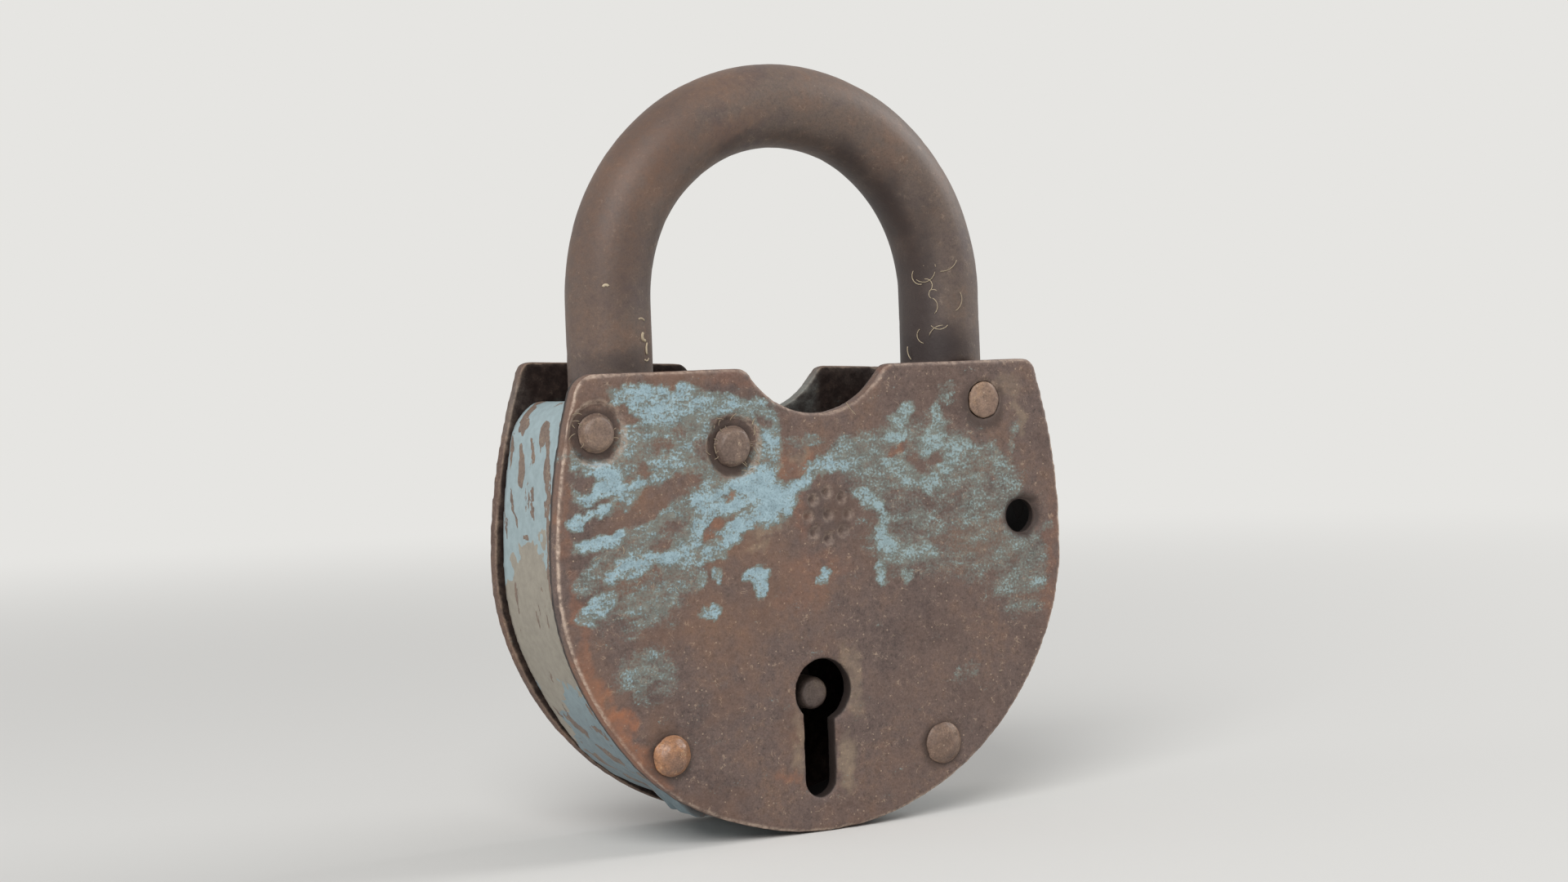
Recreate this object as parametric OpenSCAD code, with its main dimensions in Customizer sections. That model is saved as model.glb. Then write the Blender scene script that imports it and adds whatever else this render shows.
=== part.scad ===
// Riveted sheet-steel padlock, closed and unlocked.
// Origin: top of the inside of the shackle's bow, in the middle of the bar's depth.
// +X to the right, +Y towards the rear plate, +Z up. All sizes in millimetres.

/* [Case] */
// Greatest width of the two plates
case_w = 82.7; // [82:0.1:85]
// Height of the plates, from their top edge to the lowest point
case_h = 65.8; // [64:0.1:68]
// Thickness over both plates
case_t = 22.8; // [22:0.1:26]
// Thickness of each plate
plate_t = 2.5; // [2:0.1:3]
// Depth of the round notch in the plates' top edge
notch_depth = 6.6; // [5:0.1:7]
// Half of the notch's width, before its mouth is rounded
notch_half_w = 11.4; // [10:0.1:13]
// Angle by which the rear plate sits turned out of line with the front one
rear_skew = 2.4; // [0:0.1:2.5]

/* [Side band] */
// Thickness of the band's sheet
band_t = 1.1; // [0.8:0.1:1.2]
// How far the plates stand proud of the band
band_inset = 1; // [0.6:0.1:1]

/* [Shackle] */
// Diameter of the bar
bar_d = 12.1; // [11:0.1:12.4]
// Distance between the centre lines of the legs
leg_gap = 55; // [54.8:0.1:55.4]
// Height of the bow's centre above the plates' top edge
bow_rise = 10; // [8:0.1:16]
// How far the bow's centre sits to the right of the plates' middle
bow_x = 0.7; // [0.6:0.1:0.9]
// How far the free leg reaches into the case
toe_depth = 22; // [21:0.1:22.5]
// Radius of the pivot rivet's shank
pivot_r = 2.5; // [2:0.1:3]

/* [Keyhole] */
// Radius of the round part
keyhole_r = 4.4; // [4.2:0.1:4.6]
// Width of the slot
key_slot_w = 4.7; // [4.4:0.1:5]
// Radius of the post that a hollow key fits over
post_r = 2.4; // [2.2:0.1:2.4]

/* [Bolt] */
// Travel of the bolt towards the shackle's toe
bolt_travel = 4.0; // [3:0.1:4.6]
// Radius of the two studs that the bolt slides on
stud_r = 2; // [1.5:0.1:2.2]

/* [Hidden] */
$fn = 64;

clear = 0.1;     // radial clearance of rivets and studs in their holes
run = 0.06;      // radial clearance of the shackle's eye on its rivet
cut = 1;         // how far a cutting shape runs past a face
arc_step = 4;    // degrees between the points of an outline's arc

// The case is drawn with its top edge at height 0, then put at its place below the bow.
half_t = case_t / 2;
inner_y = half_t - plate_t;
bar_r = bar_d / 2;
bow_r = leg_gap / 2;
pivot_x = bow_x + bow_r;
free_x = bow_x - bow_r;
case_top = -(bow_rise + bow_r - bar_r);

// Outline of the plates: bowed sides, rounder hips and a round bottom, each tangent to the next.
half_w = case_w / 2;
side_r = 84.5;
side_x = half_w - side_r;
side_z = -26.5;
hip_r = 35;
hip_x = half_w - hip_r;
hip_drop = side_z + case_h;
bottom_r = (pow(hip_x, 2) + pow(hip_drop, 2) - pow(hip_r, 2)) / (2 * (hip_drop - hip_r));
bottom_z = bottom_r - case_h;
hip_end = atan2(side_z - bottom_z, hip_x);
skew_z = -30;    // height about which the rear plate is turned

// Round notch in the top edge and the rounding of its mouth.
notch_r = (pow(notch_half_w, 2) + pow(notch_depth, 2)) / (2 * notch_depth);
notch_z = notch_r - notch_depth;
mouth_r = 2;
mouth_x = sqrt(pow(notch_r + mouth_r, 2) - pow(notch_z + mouth_r, 2));
mouth_angle = atan2(notch_z + mouth_r, mouth_x);

// Radii of the plates' upper corners, [left, right] as seen from the front.
front_corners = [3.5, 2.2];
rear_corners = [1.8, 2.2];

// Places of rivets and holes, as [x, z] from the middle of the plates' top edge.
pivot_at = [pivot_x, -5.9];
toe_guide_at = [-34.6, -8];
bolt_guide_at = [-13.8, -10.7];
lower_left_at = [-25.1, -52.5];
lower_right_at = [19.3, -55.3];
lost_rivet_at = [34.4, -23.2];
keyhole_at = [-0.6, -45.8];
key_slot_at = [-1.4, -58.4];
post_at = [-0.1, -46.6];
post_front_y = -8;

// Radii of rivet shanks, and the round recess under the two guide rivets' front heads.
toe_guide_r = 1.5;
bolt_guide_r = 1.9;
case_rivet_r = 1.6;
lost_rivet_r = 2.45;
tail_r = 1.7;    // riveted-over tails of the post and studs in the rear plate
recess_r = 4.1;
recess = 0.7;

// The toe swings on an arc about the pivot, so its outer side is ground to that arc.
toe_swing_r = pivot_x - toe_guide_at[0] - toe_guide_r - 0.35;
toe_ground_z = -1;
toe_chamfer = 1.5;
toe_notch_x = -24.9;
toe_notch_z = [-18.6, -13.4];
eye_flat_y = 5.5;
eye_flat_r = 5.8;
washer_r = 5.4;
washer_gap = 0.15;

// Bolt: a plate that slides on two studs, with a thicker nose bar along its top.
bolt_y = 1.5;
nose_y = 2.5;
nose_x = -19.8;
nose_z = [-18.2, -13.8];
bolt_x = [-12, 17.5];
bolt_low = -36.5;
talon_w = 7;
talon_top = -33;
stud_xs = [-6, 7.2];
stud_z = -24;
stud_shoulder_r = 4;
stud_washer_r = 3.4;
stud_washer_t = 1;
stud_play = 0.15;
slot_play = 0.2;

// Leaf spring: an eye round the bolt guide rivet and a tail that bears on the bolt's top edge.
leaf_t = 0.6;
leaf_bend = [3.5, nose_z[1] + 0.1];
leaf_end = [8, leaf_bend[1] + 0.9];

// Curved wards round the post, open towards the key's slot.
ward_r = 6.4;
ward_t = 1.2;
ward_h = 2.4;
ward_gap = 80;

// Band: its left end turns in over a shoulder towards the free leg, its right end stops short
// of the swinging leg.
shoulder_r = 5.5;
shoulder_z = -9.1;
band_right_z = -10.8;

function arc(c, r, a0, a1) =
    let (n = max(2, ceil(abs(a1 - a0) / arc_step)))
    [for (i = [0:n]) let (a = a0 + (a1 - a0) * i / n) [c[0] + r * cos(a), c[1] + r * sin(a)]];

function flipped(points) = [for (i = [len(points) - 1:-1:0]) [-points[i][0], points[i][1]]];

// Angle on the side's arc at height z, for an outline moved inwards by inset.
function side_angle(z, inset) = asin((z - side_z) / (side_r - inset));

// Right-hand edge from an angle on the side's arc down to the lowest point.
function flank(angle, inset) = concat(
    arc([side_x, side_z], side_r - inset, angle, 0),
    arc([hip_x, side_z], hip_r - inset, -arc_step, hip_end),
    arc([0, bottom_z], bottom_r - inset, hip_end - arc_step, -90));

// Upper corner of radius r, tangent to the top edge and to the side, and the edge below it.
function corner_x(r) = side_x + sqrt(pow(side_r - r, 2) - pow(side_z + r, 2));
function half_plate(r) =
    let (a = atan2(-r - side_z, corner_x(r) - side_x))
    concat(arc([corner_x(r), -r], r, 90, a + arc_step), flank(a, 0));

function plate_outline(corners) = concat(
    arc([-mouth_x, -mouth_r], mouth_r, 90, mouth_angle + arc_step),
    arc([0, notch_z], notch_r, 180 + mouth_angle, 360 - mouth_angle),
    arc([mouth_x, -mouth_r], mouth_r, 180 - mouth_angle - arc_step, 90),
    half_plate(corners[1]),
    flipped(half_plate(corners[0])));

// One face of the band, from its right end round to the end of the left shoulder.
function band_edge(inset) =
    let (a = side_angle(shoulder_z, band_inset),
         c = side_r - band_inset - shoulder_r)
    concat(
        flank(side_angle(band_right_z, inset), inset),
        flipped(flank(a, inset)),
        flipped(arc([side_x + c * cos(a), side_z + c * sin(a)], shoulder_r + band_inset - inset,
                    90, a + arc_step)));

module in_case() {
    translate([-bow_x, 0, case_top]) children();
}

// A shape drawn as x and z, given a thickness from y0 to y1.
module slab(y0, y1) {
    translate([0, y1, 0]) rotate([90, 0, 0]) linear_extrude(y1 - y0) children();
}

module bar_y(at, r, y0, y1) {
    translate([at[0], y1, at[1]]) rotate([90, 0, 0]) cylinder(h = y1 - y0, r = r);
}

module plate_holes(y0, y1) {
    bar_y(pivot_at, pivot_r + clear, y0, y1);
    bar_y(toe_guide_at, toe_guide_r + clear, y0, y1);
    bar_y(bolt_guide_at, bolt_guide_r + clear, y0, y1);
    bar_y(lower_left_at, case_rivet_r + clear, y0, y1);
    bar_y(lower_right_at, case_rivet_r + clear, y0, y1);
    bar_y(lost_rivet_at, lost_rivet_r, y0, y1);
}

module keyhole(y0, y1) {
    bar_y(keyhole_at, keyhole_r, y0, y1);
    bar_y(key_slot_at, key_slot_w / 2, y0, y1);
    translate([key_slot_at[0] - key_slot_w / 2, y0, key_slot_at[1]])
        cube([key_slot_w, y1 - y0, keyhole_at[1] - key_slot_at[1]]);
}

module front_plate() {
    color("#6f564b") in_case() difference() {
        slab(-half_t, -inner_y) polygon(plate_outline(front_corners));
        plate_holes(-half_t - cut, -inner_y + cut);
        keyhole(-half_t - cut, -inner_y + cut);
        for (at = [toe_guide_at, bolt_guide_at])
            bar_y(at, recess_r, -half_t - cut, -half_t + recess);
    }
}

module rear_plate() {
    color("#65504a") in_case() difference() {
        slab(inner_y, half_t)
            translate([0, skew_z]) rotate(-rear_skew) translate([0, -skew_z])
                polygon(plate_outline(rear_corners));
        plate_holes(inner_y - cut, half_t + cut);
        for (at = [post_at, [stud_xs[0], stud_z], [stud_xs[1], stud_z]])
            bar_y(at, tail_r + clear, inner_y - cut, half_t + cut);
    }
}

module side_band() {
    color("#7ba3b3") in_case()
        slab(-inner_y, inner_y)
            polygon(concat(band_edge(band_inset),
                           [for (i = [len(band_edge(0)) - 1:-1:0]) band_edge(band_inset + band_t)[i]]));
}

module bow() {
    translate([bow_x, 0, bow_rise]) rotate([90, 0, 0])
        rotate_extrude(angle = 180) translate([bow_r, 0]) circle(bar_r);
}

module pivot_leg() {
    intersection() {
        translate([pivot_x, 0, pivot_at[1] - bar_r])
            cylinder(h = bow_rise - pivot_at[1] + bar_r, r = bar_r);
        union() {
            bar_y(pivot_at, bar_r, -bar_d, bar_d);
            translate([0, -bar_d, pivot_at[1]]) cube([leg_gap, 2 * bar_d, bow_rise - pivot_at[1] + cut]);
        }
    }
}

module free_leg() {
    intersection() {
        translate([free_x, 0, -toe_depth]) union() {
            cylinder(h = toe_chamfer, r1 = bar_r - toe_chamfer, r2 = bar_r);
            translate([0, 0, toe_chamfer]) cylinder(h = toe_depth + bow_rise - toe_chamfer, r = bar_r);
        }
        union() {
            bar_y(pivot_at, toe_swing_r, -bar_d, bar_d);
            translate([-leg_gap, -bar_d, toe_ground_z])
                cube([leg_gap, 2 * bar_d, bow_rise - toe_ground_z + cut]);
        }
    }
}

module shackle() {
    color("#6b574e") in_case() difference() {
        union() {
            bow();
            pivot_leg();
            free_leg();
        }
        bar_y(pivot_at, pivot_r + run, -bar_d, bar_d);
        for (side = [-1, 1])
            translate([0, side * (eye_flat_y + bar_r), 0]) bar_y(pivot_at, eye_flat_r, -bar_r, bar_r);
        translate([toe_notch_x, -bar_d, toe_notch_z[0]])
            cube([bar_d, 2 * bar_d, toe_notch_z[1] - toe_notch_z[0]]);
    }
}

// Riveted-over head, flat on top with a sloped edge; side -1 is the front, 1 the rear.
module head(at, r, h, y, side) {
    translate([at[0], y, at[1]]) rotate([-90 * side, 0, 0])
        rotate_extrude() polygon([[0, 0], [r, 0], [r, 0.35 * h], [0.72 * r, h], [0, h]]);
}

module rivet(at, r, front_r, front_h, front_y, rear_r = 3, rear_h = 0.9) {
    color("#7a6154") in_case() union() {
        bar_y(at, r, front_y, half_t);
        head(at, front_r, front_h, front_y, -1);
        head(at, rear_r, rear_h, half_t, 1);
    }
}

module pivot_rivet() {
    rivet(pivot_at, pivot_r, 2.75, 0.4, -half_t, 3.4);
}

module toe_guide_rivet() {
    rivet(toe_guide_at, toe_guide_r, 2.9, 1.7, -half_t + recess, 2.6);
}

module bolt_guide_rivet() {
    rivet(bolt_guide_at, bolt_guide_r, 3.05, 1.7, -half_t + recess);
}

module lower_left_rivet() {
    rivet(lower_left_at, case_rivet_r, 3.05, 1.9, -half_t);
}

module lower_right_rivet() {
    rivet(lower_right_at, case_rivet_r, 3.2, 1.1, -half_t);
}

module pivot_washer(y0) {
    color("#54463f") in_case() difference() {
        bar_y(pivot_at, washer_r, y0, y0 + inner_y - eye_flat_y - washer_gap);
        bar_y(pivot_at, pivot_r + clear, y0 - cut, inner_y + cut);
    }
}

module pivot_washer_front() {
    pivot_washer(-inner_y);
}

module pivot_washer_rear() {
    pivot_washer(eye_flat_y + washer_gap);
}

module key_post() {
    color("#5c4a42") in_case() union() {
        bar_y(post_at, post_r, post_front_y, inner_y);
        bar_y(post_at, tail_r, inner_y, half_t);
    }
}

module ward(y1) {
    color("#54463f") in_case()
        translate([post_at[0], y1, post_at[1]]) rotate([90, 90 - ward_gap / 2, 0])
            rotate_extrude(angle = 360 - ward_gap) translate([ward_r, 0]) square([ward_t, ward_h]);
}

module front_ward() {
    ward(-inner_y + ward_h);
}

module rear_ward() {
    ward(inner_y);
}

module stud_slot(x) {
    slot_r = stud_r + clear;
    x0 = x - slot_play;
    x1 = x + bolt_travel + slot_play;
    bar_y([x0, stud_z], slot_r, -bolt_y - cut, bolt_y + cut);
    bar_y([x1, stud_z], slot_r, -bolt_y - cut, bolt_y + cut);
    translate([x0, -bolt_y - cut, stud_z - slot_r]) cube([x1 - x0, 2 * (bolt_y + cut), 2 * slot_r]);
}

module bolt() {
    color("#6a5a50") in_case() difference() {
        union() {
            translate([nose_x, -nose_y, nose_z[0]])
                cube([bolt_x[1] - nose_x, 2 * nose_y, nose_z[1] - nose_z[0]]);
            translate([bolt_x[0], -bolt_y, bolt_low])
                cube([bolt_x[1] - bolt_x[0], 2 * bolt_y, nose_z[0] - bolt_low]);
        }
        for (x = stud_xs) stud_slot(x);
        translate([post_at[0] - talon_w / 2, -bolt_y - cut, bolt_low - cut])
            cube([talon_w, 2 * (bolt_y + cut), talon_top - bolt_low + cut]);
    }
}

module stud(x) {
    at = [x, stud_z];
    washer_y = -bolt_y - stud_play - stud_washer_t;
    color("#5c4a42") in_case() union() {
        bar_y(at, tail_r, inner_y, half_t);
        bar_y(at, stud_shoulder_r, bolt_y + stud_play, inner_y);
        bar_y(at, stud_r, washer_y, bolt_y + stud_play);
        head(at, stud_r + 0.7, 0.9, washer_y, -1);
    }
}

module bolt_stud_left() {
    stud(stud_xs[0]);
}

module bolt_stud_right() {
    stud(stud_xs[1]);
}

module stud_washer(x) {
    color("#6a5a50") in_case() difference() {
        bar_y([x, stud_z], stud_washer_r, -bolt_y - stud_play - stud_washer_t, -bolt_y - stud_play);
        bar_y([x, stud_z], stud_r + clear, -half_t, 0);
    }
}

module stud_washer_left() {
    stud_washer(stud_xs[0]);
}

module stud_washer_right() {
    stud_washer(stud_xs[1]);
}

module bolt_spring() {
    eye_r = bolt_guide_r + clear;
    start = [bolt_guide_at[0], bolt_guide_at[1] + eye_r + 0.2];
    color("#4c4440") in_case() difference() {
        union() {
            bar_y(bolt_guide_at, eye_r + leaf_t, -nose_y, nose_y);
            slab(-nose_y, nose_y)
                polygon([start, leaf_bend, leaf_end, leaf_end + [0, leaf_t],
                         leaf_bend + [0, leaf_t], start + [0, leaf_t]]);
        }
        bar_y(bolt_guide_at, eye_r, -nose_y - cut, nose_y + cut);
    }
}

front_plate();
rear_plate();
side_band();
shackle();
pivot_rivet();
pivot_washer_front();
pivot_washer_rear();
toe_guide_rivet();
bolt_guide_rivet();
lower_left_rivet();
lower_right_rivet();
key_post();
front_ward();
rear_ward();
bolt();
bolt_stud_left();
bolt_stud_right();
stud_washer_left();
stud_washer_right();
bolt_spring();
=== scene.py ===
"""Looks of a rusty riveted padlock: worn light-blue paint over brown sheet steel."""

import random
from math import cos, hypot, pi, radians, sin

import bmesh
import bpy
import numpy as np
from mathutils import Euler, Matrix, Vector, noise
from mathutils.bvhtree import BVHTree


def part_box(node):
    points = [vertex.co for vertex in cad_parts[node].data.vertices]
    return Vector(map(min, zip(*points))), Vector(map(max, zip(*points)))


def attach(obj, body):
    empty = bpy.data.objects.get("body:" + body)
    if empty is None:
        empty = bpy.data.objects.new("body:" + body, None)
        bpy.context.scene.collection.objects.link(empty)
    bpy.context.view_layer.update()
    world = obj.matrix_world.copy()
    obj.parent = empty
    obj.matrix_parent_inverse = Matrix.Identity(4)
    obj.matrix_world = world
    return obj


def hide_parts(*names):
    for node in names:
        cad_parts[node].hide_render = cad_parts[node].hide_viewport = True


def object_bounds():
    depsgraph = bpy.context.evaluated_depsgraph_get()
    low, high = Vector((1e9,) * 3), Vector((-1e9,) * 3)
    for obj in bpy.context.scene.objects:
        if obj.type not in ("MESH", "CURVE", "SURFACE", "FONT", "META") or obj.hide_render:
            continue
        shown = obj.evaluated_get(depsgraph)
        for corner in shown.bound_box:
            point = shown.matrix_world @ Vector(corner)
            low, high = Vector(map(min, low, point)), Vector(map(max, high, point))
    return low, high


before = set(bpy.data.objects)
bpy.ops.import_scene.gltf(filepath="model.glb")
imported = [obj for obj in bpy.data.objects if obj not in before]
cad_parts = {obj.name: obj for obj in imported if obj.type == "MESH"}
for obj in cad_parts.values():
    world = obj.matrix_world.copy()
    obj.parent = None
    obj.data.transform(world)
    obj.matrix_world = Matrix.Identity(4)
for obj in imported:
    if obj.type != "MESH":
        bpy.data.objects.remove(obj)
cad_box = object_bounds()

# ---------------------------------------------------------------- rear plate
# The back of the case: 2.5 mm sheet steel, blanked to a heart-like outline.
# Its outer face was painted light blue, and most of that has rusted away.
# Rust and handling have rounded its edges and left shallow dents and pits.

MM = 0.001


def skin_of(node, grain, smoothing):
    """A merged copy of a CAD node as an even skin of small faces, its edges worn round."""
    bm = bmesh.new()
    bm.from_mesh(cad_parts[node].data)
    bmesh.ops.remove_doubles(bm, verts=bm.verts, dist=0.001 * MM)
    mesh = bpy.data.meshes.new(node + "_skin")
    bm.to_mesh(mesh)
    source = bpy.data.objects.new(node + "_skin", mesh)
    bpy.context.scene.collection.objects.link(source)
    remesh = source.modifiers.new("skin", "REMESH")
    remesh.mode = "VOXEL"
    remesh.voxel_size = grain
    bpy.context.view_layer.update()
    depsgraph = bpy.context.evaluated_depsgraph_get()
    bm.clear()
    bm.from_object(source, depsgraph)
    bpy.data.objects.remove(source)
    for _ in range(smoothing):
        bmesh.ops.smooth_vert(
            bm, verts=bm.verts, factor=0.5, use_axis_x=True, use_axis_y=True, use_axis_z=True
        )
    bm.normal_update()
    return bm


def weather(bm, dent, pit, seed, nibble=0.0):
    """Wears a skin inwards: dent and pit are (width, depth) pairs in metres, and
    nibble is how deep the bites in a plate's edges are."""
    shift = Vector((seed * 0.37, seed * 0.71, seed * 0.13))
    moves = []
    for v in bm.verts:
        broad = 0.5 + 0.5 * noise.noise(v.co / dent[0] + shift)
        fine = max(0.0, noise.noise(v.co / pit[0] - shift) - 0.15)
        edge = 4 * v.normal.y ** 2 * (1 - v.normal.y ** 2)
        bite = noise.noise(v.co / (1.9 * MM) + shift) + 0.6 * noise.noise(v.co / (0.7 * MM))
        bite = edge * max(0.0, bite)
        moves.append(v.normal * -(broad * dent[1] + fine * pit[1] + bite * nibble))
    for v, move in zip(bm.verts, moves):
        v.co += move
    bm.normal_update()


CASE_MIDDLE = -55.4 * MM  # height of the case's middle
RIM_START, RIM_WIDTH = 35, 5  # where a plate's rim begins and how wide it is, in millimetres


def swell(bm, x, z, reach, push, front_only=False):
    """Beats the rim of a plate or the band out from the case's middle, in millimetres."""
    middle = Vector((0, 0, CASE_MIDDLE))
    for v in bm.verts:
        near = 1 - (Vector((v.co.x, v.co.z)) - Vector((x, z)) * MM).length / (reach * MM)
        out = Vector((v.co.x, 0, v.co.z)) - middle
        rim = (out.length / MM - RIM_START) / RIM_WIDTH
        side = min(1, max(0, 0.4 - v.co.y / (4 * MM))) if front_only else 1
        if near > 0 and rim > 0:
            near = near * near * (3 - 2 * near) * (1 + 0.3 * noise.noise(v.co / (1.8 * MM)))
            v.co += out.normalized() * near * min(1, rim) * side * push * MM
    bm.normal_update()


def piece(name, bm, body, slot, *nodes):
    """Turns a bmesh into a smooth-shaded piece that rides on a body and stands for CAD nodes."""
    mesh = bpy.data.meshes.new(name)
    bm.to_mesh(mesh)
    bm.free()
    mesh.shade_smooth()
    obj = bpy.data.objects.new(name, mesh)
    bpy.context.scene.collection.objects.link(obj)
    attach(obj, body)
    if nodes:
        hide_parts(*nodes)
    return obj


def linear(code):
    """An sRGB hex colour as linear RGBA."""
    parts = [int(code[i : i + 2], 16) / 255 for i in (1, 3, 5)]
    return tuple(c / 12.92 if c <= 0.04045 else ((c + 0.055) / 1.055) ** 2.4 for c in parts) + (1.0,)


def add(material, kind, inputs=None, stops=None, **settings):
    """Adds one node to a material or the world, with its settings, ramp stops and links."""
    node = material.node_tree.nodes.new("ShaderNode" + kind)
    for name, value in settings.items():
        setattr(node, name, value)
    if stops:
        ramp = node.color_ramp
        while len(ramp.elements) < len(stops):
            ramp.elements.new(0.5)
        for element, (position, colour) in zip(ramp.elements, stops):
            element.position = position
            element.color = colour if isinstance(colour, tuple) else (colour,) * 3 + (1.0,)
    for name, value in (inputs or {}).items():
        if isinstance(value, bpy.types.NodeSocket):
            material.node_tree.links.new(value, node.inputs[name])
        else:
            node.inputs[name].default_value = value
    return node


def rusted_steel(name, dark, mid, warm, speck, seed, grit=1.0):
    """Rust-browned steel: blotches 9 mm wide, 1 mm mottling, 0.4 mm pits, pale dust specks
    and lint. Grit says how strongly the pits, specks and lint show."""
    material = bpy.data.materials.new(name)
    material.use_nodes = True
    place = add(material, "TexCoord").outputs["Object"]
    place = add(
        material, "Mapping", {"Vector": place, "Location": (seed * 0.31, seed * 0.17, seed * 0.23)}
    ).outputs["Vector"]
    blotch = add(
        material, "TexNoise", {"Vector": place, "Scale": 1 / (9 * MM), "Detail": 4.0, "Roughness": 0.6}
    ).outputs["Fac"]
    mottle = add(
        material, "TexNoise", {"Vector": place, "Scale": 1 / (1.3 * MM), "Detail": 5.0, "Roughness": 0.65}
    ).outputs["Fac"]
    pits = add(
        material, "TexNoise", {"Vector": place, "Scale": 1 / (0.55 * MM), "Detail": 3.0, "Roughness": 0.6}
    ).outputs["Fac"]
    blend = add(material, "Math", {0: blotch, 1: 0.62}, operation="MULTIPLY").outputs[0]
    blend = add(material, "Math", {0: mottle, 1: 0.38, 2: blend}, operation="MULTIPLY_ADD").outputs[0]
    colour = add(
        material,
        "ValToRGB",
        {"Fac": blend},
        stops=[(0.36, linear(dark)), (0.5, linear(mid)), (0.64, linear(warm))],
    ).outputs["Color"]
    pitted = add(material, "ValToRGB", {"Fac": pits}, stops=[(0.3, 0.55), (0.47, 1.0)]).outputs["Color"]
    colour = add(
        material, "MixRGB", {"Fac": 0.7 * grit, "Color1": colour, "Color2": pitted}, blend_type="MULTIPLY"
    ).outputs["Color"]
    grains = add(
        material, "TexNoise", {"Vector": place, "Scale": 1 / (0.24 * MM), "Detail": 1.0}
    ).outputs["Fac"]
    grains = add(material, "ValToRGB", {"Fac": grains}, stops=[(0.3, 0.78), (0.7, 1.12)]).outputs["Color"]
    colour = add(
        material, "MixRGB", {"Fac": grit, "Color1": colour, "Color2": grains}, blend_type="MULTIPLY"
    ).outputs["Color"]
    cells = add(
        material, "TexVoronoi", {"Vector": place, "Scale": 1 / (1.1 * MM), "Randomness": 1.0}
    )
    dust = add(
        material, "ValToRGB", {"Fac": cells.outputs["Distance"]},
        stops=[(0.07, 0.8 * grit), (0.14, 0.0)]
    )
    lucky = add(
        material, "ValToRGB", {"Fac": cells.outputs["Color"]}, stops=[(0.66, 0.0), (0.7, 1.0)]
    ).outputs["Color"]
    dust = add(
        material, "Math", {0: dust.outputs["Color"], 1: lucky}, operation="MULTIPLY"
    ).outputs[0]
    colour = add(
        material, "MixRGB", {"Fac": dust, "Color1": colour, "Color2": linear(speck)}
    ).outputs["Color"]
    curl = add(
        material, "TexNoise", {"Vector": place, "Scale": 1 / (1.8 * MM), "Detail": 1.0, "Distortion": 1.6}
    ).outputs["Fac"]
    curl = add(material, "Math", {0: curl, 1: 0.5, 2: 0.018}, operation="COMPARE").outputs[0]
    short = add(
        material, "ValToRGB", {"Fac": mottle}, stops=[(0.55, 0.0), (0.6, 0.5 * grit)]
    ).outputs["Color"]
    curl = add(material, "Math", {0: curl, 1: short}, operation="MULTIPLY").outputs[0]
    colour = add(
        material, "MixRGB", {"Fac": curl, "Color1": colour, "Color2": linear(speck)}
    ).outputs["Color"]
    height = add(material, "Math", {0: pits, 1: 0.6}, operation="MULTIPLY").outputs[0]
    height = add(material, "Math", {0: mottle, 1: 0.6, 2: height}, operation="MULTIPLY_ADD").outputs[0]
    return material, {"place": place, "colour": colour, "height": height, "mottle": mottle, "pits": pits}


def dress(material, colour, roughness, height, depth, metallic=0.0):
    """Gives a material's shader its colour, roughness and bump, with depth in metres."""
    shader = material.node_tree.nodes["Principled BSDF"]
    bump = add(material, "Bump", {"Height": height, "Distance": depth, "Strength": 1.0})
    material.node_tree.links.new(bump.outputs["Normal"], shader.inputs["Normal"])
    material.node_tree.links.new(colour, shader.inputs["Base Color"])
    if isinstance(roughness, float):
        shader.inputs["Roughness"].default_value = roughness
    else:
        material.node_tree.links.new(roughness, shader.inputs["Roughness"])
    if isinstance(metallic, float):
        shader.inputs["Metallic"].default_value = metallic
    else:
        material.node_tree.links.new(metallic, shader.inputs["Metallic"])


def blacken(material, colour, amount, tint="#1f1816"):
    """Lays a dark tint over a colour: for a dark joint, for dirt, and for painted shade on inner faces, in
    holes and sinkings and on the shackle's shaded side.
    """
    return add(
        material, "MixRGB", {"Fac": amount, "Color1": colour, "Color2": linear(tint)}
    ).outputs["Color"]


def wobble(spot):
    """A smooth push in three directions that is the same on every run."""
    return Vector(
        [
            noise.noise(spot + Vector(shift)) for shift in (
                (0, 0, 0), (19.1, 7.3, 3.7), (5.9, 31.7, 11.3)
            )
        ]
    )


def brush(obj, name, strokes, ground=0.0, wander=0.0, soft=0.7, sideways=False):
    """Stores how thick a layer lies on each point of a piece: strokes are
    (x, z, half length, half width, slope in degrees, strength) in millimetres,
    and their edges wander by about that many millimetres. Sideways strokes start
    with y, for the left side; the right side takes them turned about and lower."""
    points = np.zeros(len(obj.data.vertices) * 3, np.float32)
    obj.data.vertices.foreach_get("co", points)
    points = points.reshape(-1, 3) / MM
    right = points[:, 0] > 0
    if wander:
        drift = [wobble(Vector(p) / 2.6) + 0.6 * wobble(Vector(p) / 0.9) for p in points]
        points = points + wander * np.array(drift)
    if sideways:
        points = np.where(right[:, None], points * (1, -1, 1) + (0, 0, 9), points)[:, [1, 0, 2]]
    layer = np.full(len(points), float(ground))
    for x, z, length, width, slope, strength in strokes:
        along = cos(radians(slope)) * (points[:, 0] - x) + sin(radians(slope)) * (points[:, 2] - z)
        across = cos(radians(slope)) * (points[:, 2] - z) - sin(radians(slope)) * (points[:, 0] - x)
        reach = np.hypot(along / length, across / width)
        cover = 1 - np.clip((reach - 1.05) / soft + 0.5, 0, 1)
        cover = cover * cover * (3 - 2 * cover)
        if strength > 0:
            layer = np.maximum(layer, strength * cover)
        else:
            layer = layer * (1 + strength * cover)
    attribute = obj.data.attributes.new(name, "FLOAT", "POINT")
    attribute.data.foreach_set("value", layer.astype(np.float32))


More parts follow.
